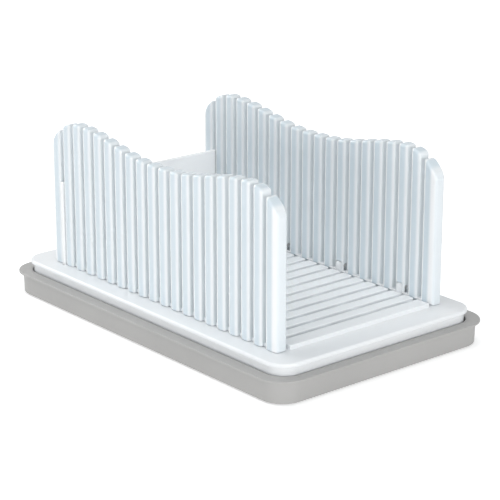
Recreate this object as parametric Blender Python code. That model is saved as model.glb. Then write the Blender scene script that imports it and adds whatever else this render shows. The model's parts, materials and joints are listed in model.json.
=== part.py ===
"""Slicing guide: two comb walls that fold onto a board, a back stop and a crumb tray.

Metres, +Z up. The origin is on the counter below the middle of the tray. +Y is the rear, where the
back stop stands, and -X is the left side. Heights on the walls are measured from the board's top.
"""

from math import cos, pi, radians, sin, sqrt

import bmesh
import bpy
from mathutils import Matrix

MM = 0.001

# Comb walls and their knife slots
SLOT_COUNT = 19
SLOT_PITCH = 12.7 * MM
SLOT_WIDTH = 3.9 * MM
FRONT_FIN_LENGTH = 12.0 * MM
REAR_FIN_LENGTH = 9.9 * MM
CHANNEL_WIDTH = 132.8 * MM
WALL_THICKNESS = 10.16 * MM
WALL_CREST = 110.5 * MM
WALL_DIP = 99.2 * MM
CREST_FROM_MIDDLE = 95.5 * MM
CREST_END_RADIUS = 36.6 * MM
CRESTS_FORWARD = 1.5 * MM
FRONT_CORNER_RADIUS = 2.2 * MM
REAR_CORNER_RADIUS = 1.2 * MM
SPINE_DEPTH = 7.0 * MM
SPINE_BELOW_PLATFORM = 0.2 * MM
FOOT_CHAMFER = 1.8 * MM
DIP_POWER = 1.3
TOP_STEPS_PER_SLOT = 3

# Board
BOARD_SIDE_MARGIN = 13.6 * MM
BOARD_FRONT_MARGIN = 20.7 * MM
BOARD_REAR_MARGIN = 23.1 * MM
LIP_THICKNESS = 3.0 * MM
LIP_RADIUS = 16.0 * MM
LIP_OVERHANG = 2.2 * MM
LIP_ROUNDING = 1.2 * MM
SKIRT_WALL = 2.0 * MM
RIB_WIDTH = 2.0 * MM
RIB_DEPTH = 4.0 * MM
PLATFORM_HEIGHT = 3.0 * MM
PLATFORM_SIDE_GAP = 2.0 * MM
CRUMB_SLOTS_PER_GROOVE = 3
CRUMB_SLOT_WIDTH = 2.4 * MM
CRUMB_BRIDGE = 8.0 * MM

# Crumb tray
TRAY_HEIGHT = 17.0 * MM
TRAY_WALL = 2.0 * MM
TRAY_INNER_WALL = 1.8 * MM
TRAY_FLOOR = 2.0 * MM
TRAY_FLOOR_RAISE = 2.0 * MM
TRAY_DRAFT = 0.4 * MM
RIM_THICKNESS = 1.5 * MM
RIM_WIDTH_SIDES = 9.3 * MM
RIM_WIDTH_ENDS = 8.75 * MM
RIM_RADIUS = 21.0 * MM
RIM_OVERHANG = 3.2 * MM
RIM_TO_SKIRT = 1.25 * MM
BOARD_ABOVE_RIM = 8.5 * MM

# Rubber feet
FOOT_RADIUS = 8.0 * MM
FOOT_PROUD = 1.0 * MM
FOOT_ROUNDING = 0.5 * MM
FOOT_INSET = 20.5 * MM
FOOT_SOCKET_WALL = 2.0 * MM
FOOT_SOCKET_DEPTH = 1.4 * MM

# Hinges
HINGE_FIN_SHARES = (0.1, 0.37, 0.63, 0.9)
AXIS_INSET = 3.0 * MM
LUG_WIDTH = 5.0 * MM
POCKET_CLEARANCE = 0.3 * MM
PIN_RADIUS = 1.5 * MM
PIN_SHORT_OF_FIN = 0.3 * MM
PIN_IN_LUG_CLEARANCE = 0.1 * MM
PIN_IN_WALL_CLEARANCE = 0.2 * MM
SNAP_MOUTH = 2.6 * MM
FOLD_GAP = 0.3 * MM
BAR_RADIUS = 2.8 * MM

# Back stop
STOP_HEIGHT = 63.5 * MM
STOP_THICKNESS = 3.4 * MM
STOP_REAR_GAP = 0.12 * MM
STOP_TONGUE = 2.4 * MM
STOP_CORNER_RADIUS = 1.5 * MM
STOP_CLEARANCE = 0.4 * MM
SLIT_OVERHANG = 1.2 * MM

# Shared
SEAT_GAP = 0.3 * MM
CUT_OVERRUN = 1.0 * MM
EMBED = 1.0 * MM
ROUND_STEPS = 24
CORNER_STEPS = 8
SMALL_CORNER_STEPS = 3
WELD_DISTANCE = 0.001 * MM

# Heights
TRAY_BOTTOM = FOOT_PROUD
RIM_TOP = TRAY_BOTTOM + TRAY_HEIGHT
FLOOR_UNDERSIDE = TRAY_BOTTOM + TRAY_FLOOR_RAISE
FLOOR_TOP = FLOOR_UNDERSIDE + TRAY_FLOOR
BOARD_TOP = RIM_TOP + BOARD_ABOVE_RIM
LIP_UNDERSIDE = BOARD_TOP - LIP_THICKNESS
SKIRT_BOTTOM = FLOOR_TOP + SEAT_GAP
RIGHT_AXIS_HEIGHT = PLATFORM_HEIGHT + FOLD_GAP + AXIS_INSET
LEFT_AXIS_HEIGHT = RIGHT_AXIS_HEIGHT + WALL_THICKNESS + FOLD_GAP

# Plan sizes
FIN_LENGTH = SLOT_PITCH - SLOT_WIDTH
WALL_LENGTH = (SLOT_COUNT - 1) * SLOT_PITCH + SLOT_WIDTH + FRONT_FIN_LENGTH + REAR_FIN_LENGTH
AXIS_X = CHANNEL_WIDTH / 2 + AXIS_INSET
WALL_OUTSIDE_X = CHANNEL_WIDTH / 2 + WALL_THICKNESS
BOARD_SIZE = (2 * (WALL_OUTSIDE_X + BOARD_SIDE_MARGIN), WALL_LENGTH + BOARD_FRONT_MARGIN + BOARD_REAR_MARGIN)
SKIRT_SIZE = tuple(side - 2 * LIP_OVERHANG for side in BOARD_SIZE)
BASIN_SIZE = tuple(side + 2 * RIM_TO_SKIRT for side in SKIRT_SIZE)
RIM_SIZE = (BASIN_SIZE[0] + 2 * RIM_WIDTH_SIDES, BASIN_SIZE[1] + 2 * RIM_WIDTH_ENDS)
TRAY_SIZE = tuple(side - 2 * RIM_OVERHANG for side in RIM_SIZE)
WALL_FRONT_Y = -BOARD_SIZE[1] / 2 + BOARD_FRONT_MARGIN
WALL_REAR_Y = WALL_FRONT_Y + WALL_LENGTH
WALL_MIDDLE_Y = (WALL_FRONT_Y + WALL_REAR_Y) / 2
SKIRT_RADIUS = LIP_RADIUS - LIP_OVERHANG
TRAY_RADIUS = RIM_RADIUS - RIM_OVERHANG
PLATFORM_HALF_WIDTH = CHANNEL_WIDTH / 2 - PLATFORM_SIDE_GAP


def clear_scene():
    for old in list(bpy.data.objects):
        bpy.data.objects.remove(old, do_unlink=True)


def new_collection(name):
    collection = bpy.data.collections.new(name)
    bpy.context.scene.collection.children.link(collection)
    return collection


def plastic(name, colour, roughness):
    """One plain plastic or rubber."""
    material = bpy.data.materials.new(name)
    material.use_nodes = True
    shader = material.node_tree.nodes["Principled BSDF"]
    shader.inputs["Base Color"].default_value = (*colour, 1)
    shader.inputs["Roughness"].default_value = roughness
    shader.inputs["Metallic"].default_value = 0
    return material


def steel(name, colour, roughness):
    material = plastic(name, colour, roughness)
    material.node_tree.nodes["Principled BSDF"].inputs["Metallic"].default_value = 1
    return material


def place(mesh, name, location, parent=None, material=None):
    """A part of the guide, at a place in the world."""
    part = bpy.data.objects.new(name, mesh)
    PARTS.objects.link(part)
    part.location = location
    if parent:
        part.parent = parent
        part.location = [a - b for a, b in zip(location, parent.location)]
    if material:
        mesh.materials.append(material)
    mesh.shade_smooth()
    mesh.set_sharp_from_angle(angle=radians(30))
    return part


def joint_empty(name, location):
    empty = bpy.data.objects.new(name, None)
    PARTS.objects.link(empty)
    empty.location = location
    return empty


def helper(mesh, name, location):
    """A cutter or an addition, kept out of sight."""
    tool = bpy.data.objects.new(name, mesh)
    CUTTERS.objects.link(tool)
    tool.location = location
    tool.hide_render = True
    tool.display_type = "WIRE"
    return tool


def combine(part, tool, operation):
    boolean = part.modifiers.new(tool.name, "BOOLEAN")
    boolean.operation = operation
    boolean.object = tool


def cut(part, tool):
    combine(part, tool, "DIFFERENCE")


def join(part, tool):
    combine(part, tool, "UNION")


def merged_flats(bm):
    """Turns each flat stretch into one face, so that later cuts have little to split."""
    bmesh.ops.dissolve_limit(bm, angle_limit=radians(0.5), verts=bm.verts[:], edges=bm.edges[:])


def plate_mesh(name, rings, low, high):
    """A plate between two heights. The first ring is its edge, and the others are holes."""
    curve = bpy.data.curves.new(name, "CURVE")
    curve.dimensions = "2D"
    curve.fill_mode = "BOTH"
    curve.extrude = (high - low) / 2
    for ring in rings:
        spline = curve.splines.new("POLY")
        spline.points.add(len(ring) - 1)
        for point, (x, y) in zip(spline.points, ring):
            point.co = (x, y, 0, 1)
        spline.use_cyclic_u = True
    drawn = bpy.data.objects.new(name, curve)
    bpy.context.scene.collection.objects.link(drawn)
    graph = bpy.context.evaluated_depsgraph_get()
    mesh = bpy.data.meshes.new_from_object(drawn.evaluated_get(graph))
    mesh.name = name
    bpy.data.objects.remove(drawn, do_unlink=True)
    bpy.data.curves.remove(curve)
    bm = bmesh.new()
    bm.from_mesh(mesh)
    bmesh.ops.remove_doubles(bm, verts=bm.verts[:], dist=WELD_DISTANCE)
    bmesh.ops.translate(bm, verts=bm.verts[:], vec=(0, 0, (low + high) / 2))
    if len(rings) == 1:
        merged_flats(bm)
    bmesh.ops.recalc_face_normals(bm, faces=bm.faces[:])
    bm.to_mesh(mesh)
    bm.free()
    return mesh


def rounded_rectangle(size, radius, steps=CORNER_STEPS):
    """Points round a rectangle with round corners, centred on the origin."""
    points = []
    for quarter, (side_x, side_y) in enumerate(((1, 1), (-1, 1), (-1, -1), (1, -1))):
        centre_x = side_x * (size[0] / 2 - radius)
        centre_y = side_y * (size[1] / 2 - radius)
        for step in range(steps + 1):
            angle = (quarter + step / steps) * pi / 2
            points.append((centre_x + radius * cos(angle), centre_y + radius * sin(angle)))
    return points


def add_box(bm, low, high):
    """Adds a box between two opposite corners, given in any order."""
    size = [abs(b - a) for a, b in zip(low, high)]
    middle = [(a + b) / 2 for a, b in zip(low, high)]
    box = bmesh.ops.create_cube(bm, size=1)
    bmesh.ops.scale(bm, vec=size, verts=box["verts"])
    bmesh.ops.translate(bm, vec=middle, verts=box["verts"])


def add_rod(bm, radius, middle, length):
    """Adds a round rod that lies along Y."""
    turn = Matrix.Translation(middle) @ Matrix.Rotation(pi / 2, 4, "X")
    bmesh.ops.create_cone(
        bm, cap_ends=True, segments=ROUND_STEPS, radius1=radius, radius2=radius, depth=length, matrix=turn
    )


def mesh_of(name, bm):
    mesh = bpy.data.meshes.new(name)
    bm.to_mesh(mesh)
    bm.free()
    return mesh


def boxes_mesh(name, corners):
    bm = bmesh.new()
    for low, high in corners:
        add_box(bm, low, high)
    return mesh_of(name, bm)


def rods_mesh(name, radius, middles, length):
    bm = bmesh.new()
    for middle in middles:
        add_rod(bm, radius, middle, length)
    return mesh_of(name, bm)


def round_edges(mesh, picks, width, steps):
    """Rounds the sharp edges for which picks(first end, other end) holds."""
    bm = bmesh.new()
    bm.from_mesh(mesh)
    sharp = [e for e in bm.edges if e.calc_face_angle(0) > radians(40)]
    edges = [e for e in sharp if picks(e.verts[0].co, e.verts[1].co)]
    bmesh.ops.bevel(bm, geom=edges, offset=width, segments=steps, profile=0.5, affect="EDGES")
    bm.to_mesh(mesh)
    bm.free()


def slot_y(index):
    """The middle of a knife slot. Slot 0 is the rearmost and holds the back stop."""
    return WALL_REAR_Y - REAR_FIN_LENGTH - SLOT_WIDTH / 2 - index * SLOT_PITCH


def hinge_ys():
    """The middles of the fins that hold a hinge."""
    last_fin = SLOT_COUNT
    fins = [round(share * last_fin) for share in HINGE_FIN_SHARES]
    return [slot_y(fin) + SLOT_PITCH / 2 for fin in fins]


def wall_top(y):
    """Height of a wall's wavy top above the board: a dip, a crest near each end and a round fall."""
    middle = slot_y((SLOT_COUNT - 1) / 2) - CRESTS_FORWARD
    away = abs(y - middle)
    if away <= CREST_FROM_MIDDLE:
        wave = (1 - cos(pi * away / CREST_FROM_MIDDLE)) / 2
        return WALL_DIP + (WALL_CREST - WALL_DIP) * wave**DIP_POWER
    past_crest = away - CREST_FROM_MIDDLE
    return WALL_CREST - CREST_END_RADIUS + sqrt(CREST_END_RADIUS**2 - past_crest**2)


def wall_outline(axis_height):
    """A wall's side view, as (distance along Y, height), measured from its hinge axis."""
    steps = TOP_STEPS_PER_SLOT * (SLOT_COUNT + 1)
    foot = SEAT_GAP - axis_height
    outline = [(WALL_FRONT_Y, foot), (WALL_REAR_Y, foot)]
    for step in range(steps + 1):
        y = WALL_REAR_Y - WALL_LENGTH * step / steps
        outline.append((y, wall_top(y) - axis_height))
    return outline


def wall_mesh(name, side, axis_height):
    """The uncut wall, standing on its outline. Its origin is on the hinge axis."""
    inner = -side * AXIS_INSET
    outer = side * (WALL_THICKNESS - AXIS_INSET)
    low, high = sorted((inner, outer))
    mesh = plate_mesh(name, [wall_outline(axis_height)], low, high)
    # The outline's x, y and z become Y, Z and X.
    mesh.transform(Matrix(((0, 0, 1, 0), (1, 0, 0, 0), (0, 1, 0, 0), (0, 0, 0, 1))))

    def is_upright(a, b):
        return abs(a.y - b.y) < WELD_DISTANCE and abs(a.x - b.x) < WELD_DISTANCE

    def is_front_upright(a, b):
        return is_upright(a, b) and a.y < WALL_FRONT_Y + WELD_DISTANCE

    def is_rear_upright(a, b):
        return is_upright(a, b) and a.y > WALL_REAR_Y - WELD_DISTANCE

    round_edges(mesh, is_front_upright, FRONT_CORNER_RADIUS, SMALL_CORNER_STEPS)
    round_edges(mesh, is_rear_upright, REAR_CORNER_RADIUS, SMALL_CORNER_STEPS)
    return mesh


def slot_boxes(side, axis_height):
    """Boxes for the knife slots: right through above the spine, and outside it down to the foot."""
    inside = -side * (AXIS_INSET + CUT_OVERRUN)
    outside = side * (WALL_THICKNESS - AXIS_INSET + CUT_OVERRUN)
    spine_side = side * (SPINE_DEPTH - AXIS_INSET)
    top = WALL_CREST + CUT_OVERRUN - axis_height
    spine_top = PLATFORM_HEIGHT - SPINE_BELOW_PLATFORM - axis_height
    bottom = SEAT_GAP - CUT_OVERRUN - axis_height
    through = []
    below = []
    for index in range(SLOT_COUNT):
        rear = slot_y(index) + SLOT_WIDTH / 2
        front = slot_y(index) - SLOT_WIDTH / 2
        floor = bottom if index == 0 else spine_top
        through.append(((inside, front, floor), (outside, rear, top)))
        if index:
            below.append(((spine_side, front, bottom), (outside, rear, spine_top + CUT_OVERRUN)))
    return through, below


def hinge_pocket_boxes(side, axis_height):
    """Pockets for the lugs, open at the foot and at the inner face, and the snap mouths beside them."""
    inside = -side * (AXIS_INSET + CUT_OVERRUN)
    back = side * (AXIS_INSET + POCKET_CLEARANCE)
    bottom = SEAT_GAP - CUT_OVERRUN - axis_height
    top = AXIS_INSET + POCKET_CLEARANCE
    half = LUG_WIDTH / 2 + POCKET_CLEARANCE
    mouth = SNAP_MOUTH / 2
    reach = (FIN_LENGTH + CUT_OVERRUN) / 2
    pockets = [((inside, y - half, bottom), (back, y + half, top)) for y in hinge_ys()]
    mouths = [((-mouth, y - reach, bottom), (mouth, y + reach, 0)) for y in hinge_ys()]
    return pockets, mouths


def foot_chamfer_mesh(name, side, axis_height):
    """A square bar on its corner, which takes the foot's inner edge off."""
    bar = FOOT_CHAMFER * sqrt(2)
    bm = bmesh.new()
    reach = WALL_LENGTH + 2 * CUT_OVERRUN
    add_box(bm, (-bar / 2, -reach / 2, -bar / 2), (bar / 2, reach / 2, bar / 2))
    bmesh.ops.rotate(bm, verts=bm.verts[:], matrix=Matrix.Rotation(pi / 4, 3, "Y"))
    edge = (-side * AXIS_INSET, WALL_MIDDLE_Y, SEAT_GAP - axis_height)
    bmesh.ops.translate(bm, verts=bm.verts[:], vec=edge)
    return mesh_of(name, bm)


def comb_wall(name, side, axis_height, material):
    """A comb wall that hangs on its fold axis. side is -1 on the left and 1 on the right."""
    axis = (side * AXIS_X, 0, BOARD_TOP + axis_height)
    fold = joint_empty(name + "_fold", axis)
    wall = place(wall_mesh(name, side, axis_height), name, axis, fold, material)
    through, below = slot_boxes(side, axis_height)
    pockets, mouths = hinge_pocket_boxes(side, axis_height)
    cut(wall, helper(boxes_mesh(name + "_slots", through), name + "_slots", axis))
    cut(wall, helper(boxes_mesh(name + "_slot_feet", below), name + "_slot_feet", axis))
    cut(wall, helper(foot_chamfer_mesh(name + "_chamfer", side, axis_height), name + "_chamfer", axis))
    cut(wall, helper(boxes_mesh(name + "_pockets", pockets), name + "_pockets", axis))
    cut(wall, helper(boxes_mesh(name + "_mouths", mouths), name + "_mouths", axis))
    seat_middles = [(0, y, 0) for y in hinge_ys()]
    seat_radius = PIN_RADIUS + PIN_IN_WALL_CLEARANCE
    seats = rods_mesh(name + "_seats", seat_radius, seat_middles, FIN_LENGTH + CUT_OVERRUN)
    cut(wall, helper(seats, name + "_seats", axis))
    bar = rods_mesh(name + "_bar", BAR_RADIUS, [(0, slot_y(0), 0)], SLOT_WIDTH + 2 * EMBED)
    join(wall, helper(bar, name + "_bar", axis))
    return wall


def lug_outline(axis_height):
    """A hinge lug seen along Y: upright, with a round head about the axis."""
    outline = [(-AXIS_INSET, -axis_height - EMBED), (AXIS_INSET, -axis_height - EMBED)]
    steps = ROUND_STEPS // 2
    for step in range(steps + 1):
        angle = pi * step / steps
        outline.append((AXIS_INSET * cos(angle), AXIS_INSET * sin(angle)))
    return outline


def lug_mesh(name, axis_height):
    mesh = plate_mesh(name, [lug_outline(axis_height)], -LUG_WIDTH / 2, LUG_WIDTH / 2)
    mesh.transform(Matrix.Rotation(pi / 2, 4, "X"))
    return mesh


def add_hinges(board, side, label, axis_height, material):
    """The board's lugs for one wall and the pins in them."""
    for number, y in enumerate(hinge_ys(), start=1):
        axis = (side * AXIS_X, y, BOARD_TOP + axis_height)
        lug = helper(lug_mesh(f"{label}_lug_{number}", axis_height), f"{label}_lug_{number}", axis)
        join(board, lug)
        bore_name = f"{label}_bore_{number}"
        bore = rods_mesh(bore_name, PIN_RADIUS + PIN_IN_LUG_CLEARANCE, [(0, 0, 0)], LUG_WIDTH + CUT_OVERRUN)
        cut(board, helper(bore, bore_name, axis))
        pin_name = f"{label}_hinge_pin_{number}"
        pin = rods_mesh(pin_name, PIN_RADIUS, [(0, 0, 0)], FIN_LENGTH - 2 * PIN_SHORT_OF_FIN)
        place(pin, pin_name, axis, board, material)


def platform_boxes():
    """Low bars across the channel, with a knife groove between each two."""
    bars = []
    for index in range(SLOT_COUNT):
        rear = slot_y(index) - SLOT_WIDTH / 2
        front = WALL_FRONT_Y
        if index < SLOT_COUNT - 1:
            front = slot_y(index + 1) + SLOT_WIDTH / 2
        low = (-PLATFORM_HALF_WIDTH, front, BOARD_TOP - EMBED)
        bars.append((low, (PLATFORM_HALF_WIDTH, rear, BOARD_TOP + PLATFORM_HEIGHT)))
    return bars


def crumb_slot_boxes():
    """Slots through the board in the floor of each knife groove."""
    width = 2 * PLATFORM_HALF_WIDTH
    length = (width - (CRUMB_SLOTS_PER_GROOVE + 1) * CRUMB_BRIDGE) / CRUMB_SLOTS_PER_GROOVE
    slots = []
    for index in range(1, SLOT_COUNT):
        for count in range(CRUMB_SLOTS_PER_GROOVE):
            left = -PLATFORM_HALF_WIDTH + CRUMB_BRIDGE + count * (length + CRUMB_BRIDGE)
            low = (left, slot_y(index) - CRUMB_SLOT_WIDTH / 2, LIP_UNDERSIDE - CUT_OVERRUN)
            high = (left + length, slot_y(index) + CRUMB_SLOT_WIDTH / 2, BOARD_TOP + CUT_OVERRUN)
            slots.append((low, high))
    return slots


def stop_middle_y():
    return slot_y(0) + SLOT_WIDTH / 2 - STOP_REAR_GAP - STOP_THICKNESS / 2


def notch_radius():
    return BAR_RADIUS + STOP_CLEARANCE


def stop_slit_boxes():
    """Slits through the board that take the back stop's tongues."""
    half = STOP_THICKNESS / 2 + STOP_REAR_GAP
    slits = []
    for side in (-1, 1):
        inner = side * (AXIS_X + notch_radius() - STOP_CLEARANCE)
        outer = side * (WALL_OUTSIDE_X + SLIT_OVERHANG)
        low = (inner, stop_middle_y() - half, LIP_UNDERSIDE - CUT_OVERRUN)
        slits.append((low, (outer, stop_middle_y() + half, BOARD_TOP + CUT_OVERRUN)))
    return slits


def base_board(material, pin_material, lift):
    """Lip plate, skirt, ribs, slotted platform, hinge lugs and pins."""
    lip = plate_mesh("base_board", [rounded_rectangle(BOARD_SIZE, LIP_RADIUS)], LIP_UNDERSIDE, BOARD_TOP)

    def is_top_edge(a, b):
        return min(a.z, b.z) > BOARD_TOP - WELD_DISTANCE

    round_edges(lip, is_top_edge, LIP_ROUNDING, SMALL_CORNER_STEPS)
    board = place(lip, "base_board", (0, 0, 0), lift, material)
    hollow_size = [side - 2 * SKIRT_WALL for side in SKIRT_SIZE]
    rings = [
        rounded_rectangle(SKIRT_SIZE, SKIRT_RADIUS),
        rounded_rectangle(hollow_size, SKIRT_RADIUS - SKIRT_WALL),
    ]
    skirt = plate_mesh("board_skirt", rings, SKIRT_BOTTOM, LIP_UNDERSIDE + EMBED)
    join(board, helper(skirt, "board_skirt", (0, 0, 0)))
    rib_end = SKIRT_SIZE[1] / 2 - SKIRT_WALL / 2
    ribs = []
    for side in (-1, 1):
        low = (side * AXIS_X - RIB_WIDTH / 2, -rib_end, LIP_UNDERSIDE - RIB_DEPTH)
        ribs.append((low, (side * AXIS_X + RIB_WIDTH / 2, rib_end, LIP_UNDERSIDE + EMBED)))
    join(board, helper(boxes_mesh("board_ribs", ribs), "board_ribs", (0, 0, 0)))
    join(board, helper(boxes_mesh("board_platform", platform_boxes()), "board_platform", (0, 0, 0)))
    cut(board, helper(boxes_mesh("crumb_slots", crumb_slot_boxes()), "crumb_slots", (0, 0, 0)))
    cut(board, helper(boxes_mesh("stop_slits", stop_slit_boxes()), "stop_slits", (0, 0, 0)))
    add_hinges(board, -1, "left", LEFT_AXIS_HEIGHT, pin_material)
    add_hinges(board, 1, "right", RIGHT_AXIS_HEIGHT, pin_material)
    return board


def notch_outline(side, axis_height, bottom):
    """The round-topped notch that lets the stop lift off a wall's bar, walked from -X to +X."""
    radius = notch_radius()
    centre = side * AXIS_X
    steps = ROUND_STEPS // 2
    points = [(centre - radius, bottom)]
    for step in range(steps + 1):
        angle = pi - pi * step / steps
        points.append((centre + radius * cos(angle), axis_height + radius * sin(angle)))
    points.append((centre + radius, bottom))
    return points


def back_stop(material, lift):
    """A flat plate that stands in the rearmost slot of both walls."""
    foot = SEAT_GAP
    tongue = -STOP_TONGUE
    outline = [(-WALL_OUTSIDE_X, tongue)]
    left_notch = notch_outline(-1, LEFT_AXIS_HEIGHT, foot)
    right_notch = notch_outline(1, RIGHT_AXIS_HEIGHT, foot)
    outline.append((left_notch[0][0], tongue))
    outline += left_notch[1:]
    outline += right_notch[:-1]
    outline.append((right_notch[-1][0], tongue))
    outline.append((WALL_OUTSIDE_X, tongue))
    for side in (1, -1):
        centre = side * (WALL_OUTSIDE_X - STOP_CORNER_RADIUS)
        start = 0 if side > 0 else pi / 2
        for step in range(SMALL_CORNER_STEPS + 1):
            angle = start + pi / 2 * step / SMALL_CORNER_STEPS
            x = centre + STOP_CORNER_RADIUS * cos(angle)
            outline.append((x, STOP_HEIGHT - STOP_CORNER_RADIUS + STOP_CORNER_RADIUS * sin(angle)))
    mesh = plate_mesh("back_stop", [outline], -STOP_THICKNESS / 2, STOP_THICKNESS / 2)
    mesh.transform(Matrix.Rotation(pi / 2, 4, "X"))
    place(mesh, "back_stop", (0, stop_middle_y(), BOARD_TOP), lift, material)


def foot_middles():
    across = TRAY_SIZE[0] / 2 - FOOT_INSET
    along = TRAY_SIZE[1] / 2 - FOOT_INSET
    return [(x, y) for y in (-along, along) for x in (-across, across)]


def crumb_tray(material):
    """A basin with a rim folded over into an outer skirt, and sockets for the feet below its floor."""
    body_ring = rounded_rectangle(TRAY_SIZE, TRAY_RADIUS)
    body = plate_mesh("crumb_tray", [body_ring], TRAY_BOTTOM, RIM_TOP - RIM_THICKNESS / 2)
    for vertex in body.vertices:
        if vertex.co.z < TRAY_BOTTOM + WELD_DISTANCE:
            vertex.co.x *= 1 - 2 * TRAY_DRAFT / TRAY_SIZE[0]
            vertex.co.y *= 1 - 2 * TRAY_DRAFT / TRAY_SIZE[1]
    tray = place(body, "crumb_tray", (0, 0, 0), None, material)
    rim = plate_mesh("tray_rim", [rounded_rectangle(RIM_SIZE, RIM_RADIUS)], RIM_TOP - RIM_THICKNESS, RIM_TOP)
    join(tray, helper(rim, "tray_rim", (0, 0, 0)))
    basin_radius = SKIRT_RADIUS + RIM_TO_SKIRT
    basin_ring = rounded_rectangle(BASIN_SIZE, basin_radius)
    basin = plate_mesh("tray_basin", [basin_ring], FLOOR_TOP, RIM_TOP + CUT_OVERRUN)
    cut(tray, helper(basin, "tray_basin", (0, 0, 0)))
    fold_outside = rounded_rectangle([side - 2 * TRAY_WALL for side in TRAY_SIZE], TRAY_RADIUS - TRAY_WALL)
    fold_inside = rounded_rectangle(
        [side + 2 * TRAY_INNER_WALL for side in BASIN_SIZE], basin_radius + TRAY_INNER_WALL
    )
    fold = plate_mesh("tray_fold", [fold_outside, fold_inside], FLOOR_UNDERSIDE - EMBED, RIM_TOP - TRAY_WALL)
    cut(tray, helper(fold, "tray_fold", (0, 0, 0)))
    underside = plate_mesh("tray_underside", [fold_outside], TRAY_BOTTOM - CUT_OVERRUN, FLOOR_UNDERSIDE)
    cut(tray, helper(underside, "tray_underside", (0, 0, 0)))
    for number, (x, y) in enumerate(foot_middles(), start=1):
        add_foot_socket(tray, number, (x, y, 0))
    return tray


def disc_ring(radius):
    return [
        (radius * cos(2 * pi * step / ROUND_STEPS), radius * sin(2 * pi * step / ROUND_STEPS))
        for step in range(ROUND_STEPS)
    ]


def add_foot_socket(tray, number, place_at):
    inside = FOOT_RADIUS + SEAT_GAP
    rings = [disc_ring(inside + FOOT_SOCKET_WALL), disc_ring(inside)]
    name = f"foot_socket_{number}"
    low = FLOOR_UNDERSIDE - FOOT_SOCKET_DEPTH
    socket = plate_mesh(name, rings, low, FLOOR_UNDERSIDE + EMBED)
    join(tray, helper(socket, name, place_at))


def rubber_feet(tray, material):
    for number, (x, y) in enumerate(foot_middles(), start=1):
        name = f"rubber_foot_{number}"
        mesh = plate_mesh(name, [disc_ring(FOOT_RADIUS)], 0, FLOOR_UNDERSIDE - SEAT_GAP)
        round_edges(mesh, lambda a, b: max(a.z, b.z) < WELD_DISTANCE, FOOT_ROUNDING, 1)
        place(mesh, name, (x, y, 0), tray, material)


clear_scene()
PARTS = new_collection("bread_slicer_guide")
CUTTERS = new_collection("cutters")
CUTTERS.hide_render = True

white = plastic("white_plastic", (0.80, 0.84, 0.88), 0.28)
grey = plastic("grey_plastic", (0.45, 0.44, 0.43), 0.45)
rubber = plastic("foot_rubber", (0.06, 0.06, 0.06), 0.8)
pin_steel = steel("pin_steel", (0.62, 0.62, 0.61), 0.3)

tray = crumb_tray(grey)
rubber_feet(tray, rubber)
board_lift = joint_empty("board_lift", (0, 0, 0))
base_board(white, pin_steel, board_lift)
left_wall = comb_wall("left_comb_wall", -1, LEFT_AXIS_HEIGHT, white)
right_wall = comb_wall("right_comb_wall", 1, RIGHT_AXIS_HEIGHT, white)
stop_lift = joint_empty("back_stop_lift", (0, stop_middle_y(), BOARD_TOP))
back_stop(white, stop_lift)
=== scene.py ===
# %% [markdown]
# # A folding slicing guide
#
# The guide is five mouldings, four feet and eight pins. A grey tray catches crumbs. A white board
# stands in the tray, and two comb walls fold down onto the board. A thin plate closes the rear.
# This lesson dresses the plain solids of the part: each visible moulding is made again with the
# soft edges that injection moulding leaves, and gets a plastic, rubber or steel finish.
#
# The first cell loads the solids.

# %% Load the solids
import json
from math import cos, pi, radians, sin, sqrt

import bmesh
import bpy
from mathutils import Matrix, Vector


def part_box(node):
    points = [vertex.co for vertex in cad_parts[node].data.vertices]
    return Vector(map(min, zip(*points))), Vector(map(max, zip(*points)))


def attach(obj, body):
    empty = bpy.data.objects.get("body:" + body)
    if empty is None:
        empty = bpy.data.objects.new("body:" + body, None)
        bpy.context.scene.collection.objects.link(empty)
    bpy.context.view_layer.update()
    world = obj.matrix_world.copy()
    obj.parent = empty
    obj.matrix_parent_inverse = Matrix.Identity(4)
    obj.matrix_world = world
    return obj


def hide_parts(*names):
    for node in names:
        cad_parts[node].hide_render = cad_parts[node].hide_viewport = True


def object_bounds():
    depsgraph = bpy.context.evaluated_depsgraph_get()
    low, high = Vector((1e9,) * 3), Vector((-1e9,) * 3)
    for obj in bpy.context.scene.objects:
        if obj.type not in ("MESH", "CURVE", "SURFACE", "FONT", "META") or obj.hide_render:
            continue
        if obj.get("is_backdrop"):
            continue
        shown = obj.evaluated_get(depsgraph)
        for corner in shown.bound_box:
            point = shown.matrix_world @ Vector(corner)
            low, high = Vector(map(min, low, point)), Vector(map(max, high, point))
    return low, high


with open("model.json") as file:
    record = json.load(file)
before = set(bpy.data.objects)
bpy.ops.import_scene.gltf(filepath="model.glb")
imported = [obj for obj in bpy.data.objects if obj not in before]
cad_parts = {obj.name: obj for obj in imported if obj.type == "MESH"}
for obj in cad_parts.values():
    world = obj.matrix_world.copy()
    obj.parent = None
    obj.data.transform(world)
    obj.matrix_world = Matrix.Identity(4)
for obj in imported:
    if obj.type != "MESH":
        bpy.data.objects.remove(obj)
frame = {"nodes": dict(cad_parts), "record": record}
cad_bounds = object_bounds()
MM = 0.001

# %% [markdown]
# ## The camera
#
# The photograph was taken from the left front corner, a little above the walls. A long lens keeps
# the slots nearly parallel. The view was fitted to the corners of the board and the tray, so the
# camera only needs a place, a turn and a focal length.

# %% Place the camera
CAMERA_PLACE = (-0.8250, -0.9959, 0.4695)
CAMERA_TILT = 72.03
CAMERA_TURN = -39.93
FOCAL_LENGTH = 135.53
SENSOR_WIDTH = 36
FAR_CLIP = 20


def new_object(name, data):
    """An object that shows the data, linked to the scene."""
    made = bpy.data.objects.new(name, data)
    bpy.context.scene.collection.objects.link(made)
    return made


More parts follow.
